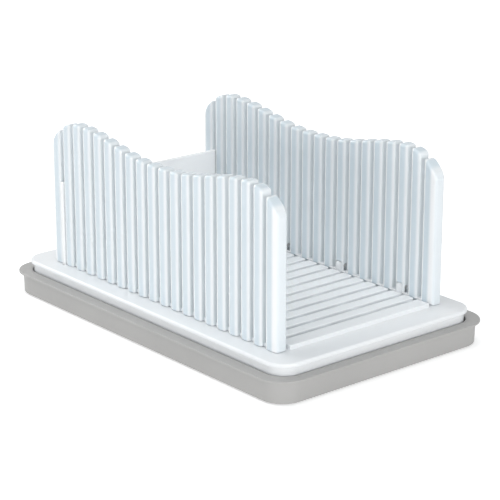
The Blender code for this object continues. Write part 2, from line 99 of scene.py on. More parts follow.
camera = new_object("front_left_view", bpy.data.cameras.new("front_left_view"))
camera.data.lens = FOCAL_LENGTH
camera.data.sensor_width = SENSOR_WIDTH
camera.data.clip_end = FAR_CLIP
camera.location = CAMERA_PLACE
camera.rotation_euler = (radians(CAMERA_TILT), 0, radians(CAMERA_TURN))
bpy.context.scene.camera = camera
print("camera at", [round(value, 3) for value in camera.location])

# %% [markdown]
# ## One tool for most mouldings
#
# A moulding such as the tray is a rounded rectangle that changes size as it rises. So most pieces
# here are lofts: a list of rings, each with a size, a corner radius and a height, joined by
# quads. A soft edge is then only a few more rings along a quarter circle, and its faces stay
# even.
#
# A bevel on a finished mesh would be quicker to write, but it breaks where small features meet,
# and it can't give the crown of a fin a different radius from its uprights.

# %% Draw one ring
CORNER_STEPS = 10
SMALLEST_CORNER = 0.02 * MM


def ring(
    size, radius, height, middle=(0, 0), front_radius=None, corner_steps=CORNER_STEPS, side_steps=1
):
    """Points round a rounded rectangle. front_radius sets the two corners at -Y apart."""
    radii = (radius, radius, front_radius or radius, front_radius or radius)
    points = []
    for quarter, (side_x, side_y) in enumerate(((1, 1), (-1, 1), (-1, -1), (1, -1))):
        corner = max(radii[quarter], SMALLEST_CORNER)
        centre_x = middle[0] + side_x * (size[0] / 2 - corner)
        centre_y = middle[1] + side_y * (size[1] / 2 - corner)
        for step in range(corner_steps + 1):
            angle = (quarter + step / corner_steps) * pi / 2
            x, y = centre_x + corner * cos(angle), centre_y + corner * sin(angle)
            points.append(Vector((x, y, height)))
        if quarter in (1, 3) and side_steps > 1:
            following = radii[quarter + 1] if quarter == 1 else radii[0]
            end_y = middle[1] - side_y * (size[1] / 2 - following)
            start = points[-1].copy()
            for step in range(1, side_steps):
                points.append(start.lerp(Vector((start.x, end_y, height)), step / side_steps))
    return points


print("a ring has", len(ring((1, 1), 0.1, 0)), "points")

# %% [markdown]
# The two ends of a loft are closed by strips that run straight across, from each point to its
# mirror image. A single many-sided face would shade badly on the curved crown of a fin.

# %% Join rings into a closed mesh
TOUCHING = 0.001 * MM


def add_loft(bm, rings, corner_steps=CORNER_STEPS):
    """Adds a closed skin through the rings, which all have the same number of points."""
    rows = [[bm.verts.new(point) for point in points] for points in rings]
    count = len(rows[0])
    for low, high in zip(rows, rows[1:]):
        for index in range(count):
            after = (index + 1) % count
            bm.faces.new((low[index], low[after], high[after], high[index]))
    for row, is_top in ((rows[0], False), (rows[-1], True)):
        for step in range(count // 2 - 1):
            right = (corner_steps - step) % count
            left = (corner_steps + 1 + step) % count
            face = (row[right], row[left], row[(left + 1) % count], row[(right - 1) % count])
            bm.faces.new(face if is_top else face[::-1])


def mesh_from(name, bm):
    bmesh.ops.remove_doubles(bm, verts=bm.verts[:], dist=TOUCHING)
    bmesh.ops.recalc_face_normals(bm, faces=bm.faces[:])
    mesh = bpy.data.meshes.new(name)
    bm.to_mesh(mesh)
    bm.free()
    return mesh


def loft_mesh(name, lofts, corner_steps=CORNER_STEPS):
    bm = bmesh.new()
    for rings in lofts:
        add_loft(bm, rings, corner_steps)
    return mesh_from(name, bm)


print("points closer than", TOUCHING / MM, "mm are merged")

# %% [markdown]
# Soft edges come from a quarter circle. `soft_edge` turns a rectangle's size, its corner radius
# and an edge radius into the rings of that quarter, so the tray, the board and the feet all read
# as tables of a few lines.

# %% Rings along a soft edge


def soft_edge(
    size, radius, start_height, end_height, start_inset, end_inset, steps=4, turn="out", **kind
):
    """Rings that go from one inset and height to another along a quarter ellipse.

    turn is "out" where the height changes first, and "in" where the inset does.
    """
    rings = []
    for step in range(steps + 1):
        angle = step / steps * pi / 2
        slow, fast = 1 - cos(angle), sin(angle)
        across, up = (slow, fast) if turn == "out" else (fast, slow)
        inset = start_inset + (end_inset - start_inset) * across
        height = start_height + (end_height - start_height) * up
        shrunk = (size[0] - 2 * inset, size[1] - 2 * inset)
        rings.append(ring(shrunk, radius - inset, height, **kind))
    return rings


print("a soft edge has", len(soft_edge((1, 1), 0.1, 0, 0.01, 0, 0.01)), "rings")

# %% [markdown]
# ## Finishing a piece
#
# Every moulding gets the same ending. It is shaded smooth except at real edges. A Weighted Normal
# modifier then lets the large faces set the normals, so flats stay flat right up to their soft
# edges. `attach` ties the piece to its body, and `hide_parts` hides the plain solid.

# %% Finish a piece
SHARP_ANGLE = 38


def finish_piece(name, mesh, body, node):
    piece = new_object(name, mesh)
    mesh.shade_smooth()
    mesh.set_sharp_from_angle(angle=radians(SHARP_ANGLE))
    weighted = piece.modifiers.new("flat_faces_lead", "WEIGHTED_NORMAL")
    weighted.keep_sharp = True
    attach(piece, body)
    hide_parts(node)
    size = [round(value / MM, 1) for value in piece.dimensions]
    print(f"{name}: {len(mesh.polygons)} faces, {size} mm")
    return piece


print("edges over", SHARP_ANGLE, "degrees stay sharp")

# %% [markdown]
# ## Crumb tray
#
# The real tray is one thin shell: a basin, a rim that is folded outwards, and an outer skirt that
# hides the fold. Its section is walked from the basin's floor, up and over the rim, down the
# skirt, and back up inside the fold to the underside of the floor.

# %% Crumb tray sizes
FOOT_PROUD = 1.0 * MM
BASIN_SIZE = (178.42 * MM, 296.3 * MM)
BASIN_RADIUS = 15.05 * MM
RIM_SIZE = (197.0 * MM, 313.8 * MM)
RIM_RADIUS = 21.0 * MM
SKIRT_OUTSIDE = (190.6 * MM, 307.4 * MM)
SKIRT_RADIUS = 17.8 * MM
FOLD_WALL = 2.0 * MM
BASIN_WALL = 1.8 * MM
RIM_TOP = 18.0 * MM
RIM_UNDERSIDE = 16.5 * MM
FOLD_TOP = 16.0 * MM
FLOOR_TOP = 5.0 * MM
FLOOR_UNDERSIDE = 3.0 * MM
DRAFT = 0.4 * MM
print("rim, mm:", [round(side / MM, 1) for side in RIM_SIZE])

# %% Crumb tray section


def tray_rings():
    floor_radius = 1.2 * MM
    lip_radius = 0.6 * MM
    edge_radius = 0.5 * MM
    foot_radius = 0.9 * MM
    basin = (BASIN_SIZE, BASIN_RADIUS)
    rim = (RIM_SIZE, RIM_RADIUS)
    skirt = (SKIRT_OUTSIDE, SKIRT_RADIUS)
    inside_fold = ([side - 2 * FOLD_WALL for side in SKIRT_OUTSIDE], SKIRT_RADIUS - FOLD_WALL)
    around_basin = ([side + 2 * BASIN_WALL for side in BASIN_SIZE], BASIN_RADIUS + BASIN_WALL)
    rings = soft_edge(*basin, FLOOR_TOP, FLOOR_TOP + floor_radius, floor_radius, 0, turn="in")
    rings += soft_edge(*basin, RIM_TOP - lip_radius, RIM_TOP, 0, -lip_radius)
    rings += soft_edge(*rim, RIM_TOP, RIM_TOP - edge_radius, edge_radius, 0, turn="in")
    rings += soft_edge(*rim, RIM_UNDERSIDE + edge_radius / 2, RIM_UNDERSIDE, 0, edge_radius / 2)
    below_rim = RIM_UNDERSIDE - edge_radius
    rings += soft_edge(*skirt, RIM_UNDERSIDE, below_rim, -edge_radius, 0, turn="in")
    rings += soft_edge(*skirt, FOOT_PROUD + foot_radius, FOOT_PROUD, DRAFT, DRAFT + foot_radius)
    rings += [ring(*inside_fold, height) for height in (FOOT_PROUD, FOLD_TOP)]
    rings += [ring(*around_basin, height) for height in (FOLD_TOP, FLOOR_UNDERSIDE)]
    return rings


tray_mesh = loft_mesh("crumb_tray_moulding", [tray_rings()])
print("tray section has", len(tray_rings()), "rings")

# %% [markdown]
# Four round sockets below the floor hold the feet. They aren't part of the rounded rectangle, so
# they are joined to the tray and bored out with Boolean modifiers. The exact solver copes with
# faces that lie in one plane, as the roof of each bore and the underside of the floor do.

# %% Join and cut


def combined(mesh, steps):
    """The mesh after a list of (operation, tool mesh) steps. The tools are removed afterwards."""
    work = new_object(mesh.name, mesh)
    tools = []
    for operation, tool_mesh in steps:
        tool = new_object(tool_mesh.name, tool_mesh)
        boolean = work.modifiers.new(tool.name, "BOOLEAN")
        boolean.operation = operation
        boolean.object = tool
        tools.append(tool)
    graph = bpy.context.evaluated_depsgraph_get()
    result = bpy.data.meshes.new_from_object(work.evaluated_get(graph))
    result.name = mesh.name
    for tool in [work] + tools:
        bpy.data.objects.remove(tool)
    print(f"{mesh.name}: {len(steps)} steps, {len(result.polygons)} faces")
    return result


# %% Foot sockets and the finished tray
FOOT_RADIUS = 8.0 * MM
SOCKET_PLAY = 0.3 * MM
SOCKET_WALL = 2.0 * MM
SOCKET_BOTTOM = 1.6 * MM
SOCKET_SOFT_EDGE = 0.3 * MM
SOCKET_JOINT = 0.8 * MM
OVERRUN = 1.0 * MM
foot_nodes = [f"rubber_foot_{number}" for number in range(1, 5)]


def node_middle(node):
    low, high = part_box(node)
    return (low + high) / 2


def disc(radius, height, at):
    return ring((2 * radius, 2 * radius), radius, height, middle=(at.x, at.y))


def drum(radius, low, high, at, soft=0.0):
    """Rings of an upright drum, soft at its lower edge."""
    return [disc(radius, high, at), disc(radius, low + soft, at), disc(radius - soft, low, at)]


bosses = []
bores = []
for node in foot_nodes:
    at = node_middle(node)
    inside = FOOT_RADIUS + SOCKET_PLAY
    boss_top = FLOOR_UNDERSIDE + SOCKET_JOINT
    bosses.append(drum(inside + SOCKET_WALL, SOCKET_BOTTOM, boss_top, at, soft=SOCKET_SOFT_EDGE))
    bores.append(drum(inside, SOCKET_BOTTOM - OVERRUN, FLOOR_UNDERSIDE, at))
tray_steps = [("UNION", loft_mesh("bosses", bosses)), ("DIFFERENCE", loft_mesh("bores", bores))]
tray_mesh = combined(tray_mesh, tray_steps)
crumb_tray = finish_piece("crumb_tray_moulding", tray_mesh, "tray", "crumb_tray")

# %% [markdown]
# ## Rubber feet
#
# Each foot is a soft disc pressed into its socket. A groove in its sole keeps suction from
# holding the guide to a wet counter. The sole itself is flat, because the part rests on it.

# %% Rubber feet
SOLE_RADIUS = 0.7 * MM
SOLE_STEPS = 4
FOOT_SIDE_BOTTOM = 0.8 * MM
GROOVE_DEPTH = 0.35 * MM
GROOVE = [(5.6 * MM, 0), (5.4 * MM, GROOVE_DEPTH), (4.4 * MM, GROOVE_DEPTH), (4.2 * MM, 0)]


def foot_rings(at, top):
    sole = [(FOOT_RADIUS, top), (FOOT_RADIUS, FOOT_SIDE_BOTTOM)]
    for step in range(1, SOLE_STEPS + 1):
        angle = step / SOLE_STEPS * pi / 2
        sole.append((FOOT_RADIUS - SOLE_RADIUS * (1 - cos(angle)), SOLE_RADIUS * (1 - sin(angle))))
    return [disc(radius, height, at) for radius, height in sole + GROOVE]


rubber_feet = []
for number, node in enumerate(foot_nodes, start=1):
    rings = foot_rings(node_middle(node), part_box(node)[1].z)
    mesh = loft_mesh(f"rubber_foot_pad_{number}", [rings])
    rubber_feet.append(finish_piece(mesh.name, mesh, "tray", node))

# %% [markdown]
# ## Base board
#
# The board is one moulding. Its skirt stands in the tray, and a thin lip reaches out past the
# skirt. In the photograph a bright line runs along the lip's top edge. That is the soft edge
# catching the light, so its radius matters more than any other on this piece.

# %% Board sizes
BOARD_SIZE = (180.32 * MM, 298.2 * MM)
BOARD_RADIUS = 16.0 * MM
BOARD_TOP = 26.5 * MM
LIP_UNDERSIDE = 23.5 * MM
LIP_OVERHANG = 2.2 * MM
SKIRT_BOTTOM = 5.3 * MM
SKIRT_WALL = 2.0 * MM
print("board, mm:", [round(side / MM, 1) for side in BOARD_SIZE])

# %% Board section


def board_rings():
    top_radius = 1.4 * MM
    lower_radius = 0.5 * MM
    lip = (BOARD_SIZE, BOARD_RADIUS)
    skirt_size = [side - 2 * LIP_OVERHANG for side in BOARD_SIZE]
    skirt_radius = BOARD_RADIUS - LIP_OVERHANG
    skirt = (skirt_size, skirt_radius)
    hollow = ([side - 2 * SKIRT_WALL for side in skirt_size], skirt_radius - SKIRT_WALL)
    above_foot = SKIRT_BOTTOM + lower_radius
    above_underside = LIP_UNDERSIDE + lower_radius
    rings = [ring(*hollow, height) for height in (LIP_UNDERSIDE, SKIRT_BOTTOM)]
    rings += soft_edge(*skirt, SKIRT_BOTTOM, above_foot, lower_radius, 0, turn="in")
    rings += soft_edge(*skirt, LIP_UNDERSIDE - lower_radius, LIP_UNDERSIDE, 0, -lower_radius)
    rings += soft_edge(*lip, LIP_UNDERSIDE, above_underside, lower_radius, 0, turn="in")
    rings += soft_edge(*lip, BOARD_TOP - top_radius, BOARD_TOP, 0, top_radius, steps=5)
    return rings


print("board section has", len(board_rings()), "rings")

# %% [markdown]
# Low bars across the channel keep what is sliced off the board, and the grooves between them line
# up with the knife slots, so the blade can pass right through. Crumbs drop through long holes in
# the grooves. The photograph hides this floor, so it follows what such guides usually have.

# %% Knife slots
SLOT_COUNT = 19
SLOT_PITCH = 12.7 * MM
SLOT_WIDTH = 3.9 * MM
REAR_SLOT_Y = 114.15 * MM
WALL_FRONT_Y = -128.4 * MM
WALL_REAR_Y = 126.0 * MM


def slot_y(index):
    """The middle of a knife slot. Slot 0 is the rearmost."""
    return REAR_SLOT_Y - index * SLOT_PITCH


print("slots from y =", round(slot_y(0) / MM, 1), "to", round(slot_y(SLOT_COUNT - 1) / MM, 1), "mm")

# %% Platform bars
PLATFORM_TOP = 29.5 * MM
PLATFORM_WIDTH = 128.8 * MM
BAR_CORNER = 0.8 * MM
BAR_SOFT_EDGE = 0.6 * MM


def bar_rings(low, high):
    """A bar on the board between two corners, with soft upper edges."""
    size = (high.x - low.x, high.y - low.y)
    kind = {"middle": ((low.x + high.x) / 2, (low.y + high.y) / 2)}
    heights = (high.z - BAR_SOFT_EDGE, high.z)
    soft = soft_edge(size, BAR_CORNER, *heights, 0, BAR_SOFT_EDGE, steps=3, **kind)
    return [ring(size, BAR_CORNER, low.z, **kind)] + soft


def platform_lofts():
    lofts = []
    for index in range(SLOT_COUNT):
        is_last = index == SLOT_COUNT - 1
        rear = slot_y(index) - SLOT_WIDTH / 2
        front = WALL_FRONT_Y if is_last else slot_y(index + 1) + SLOT_WIDTH / 2
        low = Vector((-PLATFORM_WIDTH / 2, front, BOARD_TOP - OVERRUN))
        lofts.append(bar_rings(low, Vector((PLATFORM_WIDTH / 2, rear, PLATFORM_TOP))))
    return lofts


print("bars:", len(platform_lofts()))

# %% Ribs and crumb holes
AXIS_X = 69.4 * MM
RIB_WIDTH = 2.0 * MM
RIB_BOTTOM = 19.5 * MM
RIB_CORNER = 0.6 * MM
RIB_SOFT_EDGE = 0.4 * MM
CRUMB_HOLE_WIDTH = 2.4 * MM
CRUMB_BRIDGE = 8.0 * MM
HOLES_PER_GROOVE = 3
HOLE_CORNER_STEPS = 5
FLARE = 0.25 * MM
FLARE_DEPTH = 0.3 * MM
HOLE_SECTION = (
    (LIP_UNDERSIDE - OVERRUN, 0),
    (BOARD_TOP - FLARE_DEPTH, 0),
    (BOARD_TOP, FLARE),
    (BOARD_TOP + OVERRUN, FLARE),
)


def rib_lofts():
    size = (RIB_WIDTH, BOARD_SIZE[1] - 2 * LIP_OVERHANG - SKIRT_WALL)
    heights = (RIB_BOTTOM + RIB_SOFT_EDGE, RIB_BOTTOM)
    lofts = []
    for side in (-1, 1):
        kind = {"middle": (side * AXIS_X, 0)}
        soft = soft_edge(size, RIB_CORNER, *heights, 0, RIB_SOFT_EDGE, steps=3, **kind)
        lofts.append([ring(size, RIB_CORNER, LIP_UNDERSIDE + OVERRUN, **kind)] + soft)
    return lofts


def crumb_hole_lofts():
    """Cutters for the crumb holes: round ends and a small flare at the top."""
    length = (PLATFORM_WIDTH - (HOLES_PER_GROOVE + 1) * CRUMB_BRIDGE) / HOLES_PER_GROOVE
    first = -PLATFORM_WIDTH / 2 + CRUMB_BRIDGE + length / 2
    lofts = []
    for index in range(1, SLOT_COUNT):
        for count in range(HOLES_PER_GROOVE):
            kind = {
                "middle": (first + count * (length + CRUMB_BRIDGE), slot_y(index)),
                "corner_steps": HOLE_CORNER_STEPS,
            }
            rings = []
            for height, flare in HOLE_SECTION:
                size = (length + 2 * flare, CRUMB_HOLE_WIDTH + 2 * flare)
                rings.append(ring(size, size[1] / 2, height, **kind))
            lofts.append(rings)
    return lofts


print("ribs:", len(rib_lofts()), "| crumb holes:", len(crumb_hole_lofts()))

# %% [markdown]
# The hinge lugs and the rear plate are flat plates with a drawn outline, so they get a second
# small tool. It extrudes the outline and softens the edges of both faces.

# %% Flat plates with soft edges


def add_plate(bm, outline, middle_y, thickness, soft):
    """Adds a plate from an outline of (x, z) points. The plate stands across Y."""
    front = [bm.verts.new((x, middle_y - thickness / 2, z)) for x, z in outline]
    face = bm.faces.new(front)
    extruded = bmesh.ops.extrude_face_region(bm, geom=[face])["geom"]
    moved = [item for item in extruded if isinstance(item, bmesh.types.BMVert)]
    bmesh.ops.translate(bm, verts=moved, vec=(0, thickness, 0))
    rims = {edge for item in front + moved for edge in item.link_edges}
    flat = [edge for edge in rims if abs(edge.verts[0].co.y - edge.verts[1].co.y) < TOUCHING]
    rounding = {"offset": soft, "segments": 3, "profile": 0.5, "clamp_overlap": True}
    bmesh.ops.bevel(bm, geom=flat, affect="EDGES", **rounding)


def arc(centre, radius, start, end, steps):
    """Points (x, z) along an arc, in degrees."""
    points = []
    for step in range(steps + 1):
        angle = radians(start + (end - start) * step / steps)
        points.append((centre[0] + radius * cos(angle), centre[1] + radius * sin(angle)))
    return points


print("a half circle of 20 steps has", len(arc((0, 0), 1, 0, 180, 20)), "points")

# %% Hinge lugs and bores
HINGE_FINS = (2, 7, 12, 17)
AXIS_HEIGHTS = {-1: 43.26 * MM, 1: 32.8 * MM}
LUG_RADIUS = 3.0 * MM
LUG_WIDTH = 5.0 * MM
LUG_SOFT_EDGE = 0.4 * MM
PIN_RADIUS = 1.5 * MM
LUG_BORE_PLAY = 0.1 * MM
ROD_SIDES = 32
FIN_LENGTH = SLOT_PITCH - SLOT_WIDTH
hinge_ys = [slot_y(fin) + SLOT_PITCH / 2 for fin in HINGE_FINS]


def lug_mesh():
    bm = bmesh.new()
    foot = BOARD_TOP - OVERRUN
    for side, height in AXIS_HEIGHTS.items():
        centre = (side * AXIS_X, height)
        outline = [(centre[0] - LUG_RADIUS, foot), (centre[0] + LUG_RADIUS, foot)]
        outline += arc(centre, LUG_RADIUS, 0, 180, 20)
        for y in hinge_ys:
            add_plate(bm, outline, y, LUG_WIDTH, LUG_SOFT_EDGE)
    return mesh_from("lugs", bm)


def add_rod(bm, middle, radius, length):
    """Adds a round rod along Y."""
    turn = Matrix.Translation(middle) @ Matrix.Rotation(pi / 2, 4, "X")
    shape = {"segments": ROD_SIDES, "radius1": radius, "radius2": radius, "depth": length}
    bmesh.ops.create_cone(bm, cap_ends=True, matrix=turn, **shape)


def rods_mesh(name, radius, length):
    """Rods at every hinge of both walls."""
    bm = bmesh.new()
    for side, height in AXIS_HEIGHTS.items():
        for y in hinge_ys:
            add_rod(bm, (side * AXIS_X, y, height), radius, length)
    return mesh_from(name, bm)


print("hinges at y =", [round(y / MM, 1) for y in hinge_ys])

# %% Slits for the rear plate, and the finished board
PLATE_THICKNESS = 3.4 * MM
PLATE_PLAY = 0.12 * MM
SLIT_INNER_X = 72.2 * MM
SLIT_OUTER_X = 77.76 * MM
BOX_CORNER = 0.05 * MM
plate_y = node_middle("back_stop").y


def box_rings(low, high):
    size = (high[0] - low[0], high[1] - low[1])
    kind = {"middle": ((low[0] + high[0]) / 2, (low[1] + high[1]) / 2), "corner_steps": 1}
    return [ring(size, BOX_CORNER, height, **kind) for height in (low[2], high[2])]


def slit_lofts():
    half = PLATE_THICKNESS / 2 + PLATE_PLAY
    bottom, top = LIP_UNDERSIDE - OVERRUN, BOARD_TOP + OVERRUN
    lofts = []
    for side in (-1, 1):
        inner, outer = sorted((side * SLIT_INNER_X, side * SLIT_OUTER_X))
        lofts.append(box_rings((inner, plate_y - half, bottom), (outer, plate_y + half, top)))
    return lofts


crumb_holes = loft_mesh("crumb_holes", crumb_hole_lofts(), corner_steps=HOLE_CORNER_STEPS)
board_steps = [
    ("UNION", loft_mesh("bars", platform_lofts())),
    ("UNION", loft_mesh("ribs", rib_lofts())),
    ("UNION", lug_mesh()),
    ("DIFFERENCE", crumb_holes),
    ("DIFFERENCE", loft_mesh("slits", slit_lofts(), corner_steps=1)),
    ("DIFFERENCE", rods_mesh("lug_bores", PIN_RADIUS + LUG_BORE_PLAY, LUG_WIDTH + OVERRUN)),
]
board_mesh = combined(loft_mesh("base_board_moulding", [board_rings()]), board_steps)
base_board = finish_piece("base_board_moulding", board_mesh, "board", "base_board")

# %% [markdown]
# ## Comb walls
#
# A comb wall is twenty upright fins on a low spine. In the photograph each fin has a cool flat
# face between two bright edges, and the bright band runs over the crown as well. So a fin is a
# loft too: its uprights have a radius, and its top rings follow the wave of the wall and roll
# over a softer crown. The outermost fins have larger radii at the ends of the wall.

# %% The wave along the top of a wall
FOOT_HEIGHT = 26.8 * MM
CREST = 137.0 * MM
DIP = 125.7 * MM
DIP_POWER = 1.3
CREST_FROM_MIDDLE = 95.5 * MM
CREST_END_RADIUS = 36.6 * MM
WAVE_MIDDLE_Y = -1.65 * MM


def wave(y):
    """Height of the top: a dip in the middle, a crest near each end and a round fall."""
    away = abs(min(max(y, WALL_FRONT_Y), WALL_REAR_Y) - WAVE_MIDDLE_Y)
    if away <= CREST_FROM_MIDDLE:
        share = (1 - cos(pi * away / CREST_FROM_MIDDLE)) / 2
        return DIP + (CREST - DIP) * share**DIP_POWER
    fall = sqrt(CREST_END_RADIUS**2 - (away - CREST_FROM_MIDDLE) ** 2)
    return CREST - CREST_END_RADIUS + fall


def slope(y):
    step = 0.1 * MM
    return (wave(y + step) - wave(y - step)) / (2 * step)


print("top heights, mm:", [round(wave(slot_y(i)) / MM, 1) for i in (0, 4, 9, 14, 18)])

# %% One fin
WALL_INNER_X = 66.4 * MM
WALL_OUTER_X = 76.56 * MM
UPRIGHT_RADIUS = 0.8 * MM
FACE_CROWN = 1.15 * MM
FACE_REACH = 4.4 * MM
CROWN_RADIUS = 2.0 * MM
CROWN_STEPS = 5
REAR_END_RADIUS = 1.2 * MM
FRONT_END_RADIUS = 2.2 * MM
SMALLEST_UPRIGHT = 0.25 * MM
FOOT_SOFT_EDGE = 0.3 * MM
FIN_KIND = {"corner_steps": 8, "side_steps": 8}


def fin_rings(side, front, rear):
    size = (WALL_OUTER_X - WALL_INNER_X, rear - front)
    middle = (side * (WALL_OUTER_X + WALL_INNER_X) / 2, (front + rear) / 2)
    rear_radius = REAR_END_RADIUS if rear > WALL_REAR_Y - TOUCHING else UPRIGHT_RADIUS
    front_radius = FRONT_END_RADIUS if front < WALL_FRONT_Y + TOUCHING else UPRIGHT_RADIUS
    facing = ring((2, 2), 1, 0, **FIN_KIND)

    def level(inset, height):
        shrunk = (size[0] - 2 * inset, size[1] - 2 * inset)
        at_rear = max(rear_radius - inset, SMALLEST_UPRIGHT)
        at_front = max(front_radius - inset, SMALLEST_UPRIGHT)
        points = ring(shrunk, at_rear, height, middle=middle, front_radius=at_front, **FIN_KIND)
        for point in points:
            # The broad faces are crowned: they fall back towards the slots beside the fin.
            past_flat = max(FACE_REACH - min(point.y - front, rear - point.y), 0) / FACE_REACH
            across = (point.x - middle[0]) / (size[0] / 2)
            point.x -= FACE_CROWN * past_flat**2 * across
        return points

    rings = [level(FOOT_SOFT_EDGE, FOOT_HEIGHT), level(0, FOOT_HEIGHT + FOOT_SOFT_EDGE)]
    for step in range(CROWN_STEPS + 1):
        angle = step / CROWN_STEPS * pi / 2
        points = level(CROWN_RADIUS * (1 - cos(angle)), 0)
        for point, direction in zip(points, facing):
            # On a steep stretch the crown reaches further down, to look as wide as elsewhere.
            stretch = 1 + (sqrt(1 + slope(point.y) ** 2) - 1) * direction.x**2
            point.z = wave(point.y) - CROWN_RADIUS * (1 - sin(angle)) * stretch
        rings.append(points)
    return rings


def fin_lofts(side):
    lofts = []
    for index in range(SLOT_COUNT + 1):
        rear = WALL_REAR_Y if index == 0 else slot_y(index - 1) - SLOT_WIDTH / 2
        front = WALL_FRONT_Y if index == SLOT_COUNT else slot_y(index) + SLOT_WIDTH / 2
        lofts.append(fin_rings(side, front, rear))
    return lofts


print("a wall has", len(fin_lofts(1)), "fins")

# %% [markdown]
# The spine, the hinge pockets and the snap mouths sit at the foot. They are added and cut after
# the fins are made, in the same order as a toolmaker would think of them: solid first, then
# clearances.

# %% Spine, pockets and mouths
SPINE_DEPTH = 7.0 * MM
SPINE_TOP = 29.3 * MM
SPINE_OVERLAP = 4.0 * MM
POCKET_CLEARANCE = 0.3 * MM
SNAP_MOUTH = 2.6 * MM
MOUTH_OVERRUN = 0.5 * MM


def spine_loft(side):
    """A low bar that crosses all slots but the rearmost and ends inside the fins beside them."""
    inner, outer = sorted((side * WALL_INNER_X, side * (WALL_INNER_X + SPINE_DEPTH)))
    past_slot = SLOT_WIDTH / 2
    low = (inner, slot_y(SLOT_COUNT - 1) - past_slot - SPINE_OVERLAP, FOOT_HEIGHT)
    high = (outer, slot_y(1) + past_slot + SPINE_OVERLAP, SPINE_TOP)
    return box_rings(low, high)


def pocket_lofts(side):
    """Pockets that clear the lugs, and narrower mouths that let a snap seat pass over its pin."""
    axis_height = AXIS_HEIGHTS[side]
    below = FOOT_HEIGHT - OVERRUN
    lug_reach = LUG_RADIUS + POCKET_CLEARANCE
    inner, back = sorted((side * (WALL_INNER_X - OVERRUN), side * (AXIS_X + lug_reach)))
    half = LUG_WIDTH / 2 + POCKET_CLEARANCE
    left, right = side * AXIS_X - SNAP_MOUTH / 2, side * AXIS_X + SNAP_MOUTH / 2
    reach = FIN_LENGTH / 2 + MOUTH_OVERRUN
    pockets = []
    mouths = []
    pocket_top = axis_height + lug_reach
    for y in hinge_ys:
        pockets.append(box_rings((inner, y - half, below), (back, y + half, pocket_top)))
        mouths.append(box_rings((left, y - reach, below), (right, y + reach, axis_height)))
    return pockets, mouths


print("pockets:", len(pocket_lofts(1)[0]), "| mouths:", len(pocket_lofts(1)[1]))

# %% The finished walls
FOOT_CHAMFER = 1.8 * MM
CHAMFER_LENGTH = 270 * MM
GUARD_ROD_RADIUS = 2.8 * MM
SNAP_SEAT_PLAY = 0.2 * MM


def chamfer_mesh(side):
    """A square bar on its corner, which takes the foot's inner edge off."""
    bm = bmesh.new()
    bar_side = FOOT_CHAMFER * sqrt(2)
    bmesh.ops.create_cube(bm, size=bar_side)
    bmesh.ops.rotate(bm, verts=bm.verts[:], matrix=Matrix.Rotation(pi / 4, 3, "Y"))
    bmesh.ops.scale(bm, verts=bm.verts[:], vec=(1, CHAMFER_LENGTH / bar_side, 1))
    bmesh.ops.translate(bm, verts=bm.verts[:], vec=(side * WALL_INNER_X, 0, FOOT_HEIGHT))
    return mesh_from("chamfer", bm)


def guard_rod_mesh(side):
    """A round rod across the rearmost slot, on the fold axis, which ties its two fins together."""
    bm = bmesh.new()
    middle = (side * AXIS_X, slot_y(0), AXIS_HEIGHTS[side])
    add_rod(bm, middle, GUARD_ROD_RADIUS, SLOT_WIDTH + 2 * OVERRUN)
    return mesh_from("guard_rod", bm)


def comb_wall(side, name, body, node):
    pockets, mouths = pocket_lofts(side)
    seats = rods_mesh("snap_seats", PIN_RADIUS + SNAP_SEAT_PLAY, FIN_LENGTH + OVERRUN)
    steps = [
        ("UNION", loft_mesh("spine", [spine_loft(side)], corner_steps=1)),
        ("DIFFERENCE", chamfer_mesh(side)),
        ("DIFFERENCE", loft_mesh("pockets", pockets, corner_steps=1)),
        ("DIFFERENCE", loft_mesh("mouths", mouths, corner_steps=1)),
        ("DIFFERENCE", seats),
        ("UNION", guard_rod_mesh(side)),
    ]
    fins = loft_mesh(name, fin_lofts(side), corner_steps=FIN_KIND["corner_steps"])
    return finish_piece(name, combined(fins, steps), body, node)


left_wall = comb_wall(-1, "left_comb_moulding", "left_wall", "left_comb_wall")
right_wall = comb_wall(1, "right_comb_moulding", "right_wall", "right_comb_wall")

# %% [markdown]
# ## Rear plate and pins
#
# The rear plate drops into the rearmost slot of both walls. Only its edge shows in the
# photograph, as a strip in the slot with a dark line before it. Two notches let it slide past the
# rods, and two tongues reach into the slits of the board.

# %% Rear plate
PLATE_TOP = 90.0 * MM
PLATE_FOOT = 26.8 * MM
TONGUE_END = 24.1 * MM
NOTCH_PLAY = 0.4 * MM
NOTCH_RADIUS = GUARD_ROD_RADIUS + NOTCH_PLAY
PLATE_CORNER = 1.5 * MM
PLATE_SOFT_EDGE = 0.35 * MM


def notch(side):
    """A round-topped notch over a rod, walked from -X to +X."""
    return arc((side * AXIS_X, AXIS_HEIGHTS[side]), NOTCH_RADIUS, 180, 0, 16)


def plate_outline():
    left = notch(-1)
    right = notch(1)
    outline = [(-WALL_OUTER_X, TONGUE_END), (left[0][0], TONGUE_END)] + left
    outline += [(left[-1][0], PLATE_FOOT), (right[0][0], PLATE_FOOT)] + right
    outline += [(right[-1][0], TONGUE_END), (WALL_OUTER_X, TONGUE_END)]
    corner = (WALL_OUTER_X - PLATE_CORNER, PLATE_TOP - PLATE_CORNER)
    outline += arc(corner, PLATE_CORNER, 0, 90, 6)
    outline += arc((-corner[0], corner[1]), PLATE_CORNER, 90, 180, 6)
    return outline


bm = bmesh.new()
add_plate(bm, plate_outline(), plate_y, PLATE_THICKNESS, PLATE_SOFT_EDGE)
plate_mesh = mesh_from("rear_plate", bm)
rear_plate = finish_piece("rear_plate", plate_mesh, "stop", "back_stop")

# %% [markdown]
# The real pins are cut from ground rod and chamfered, so that they press into the lugs without
# scraping. They are drawn upright, as any other loft, and then laid down along the fold axis.

# %% Hinge pins
PIN_CHAMFER = 0.3 * MM


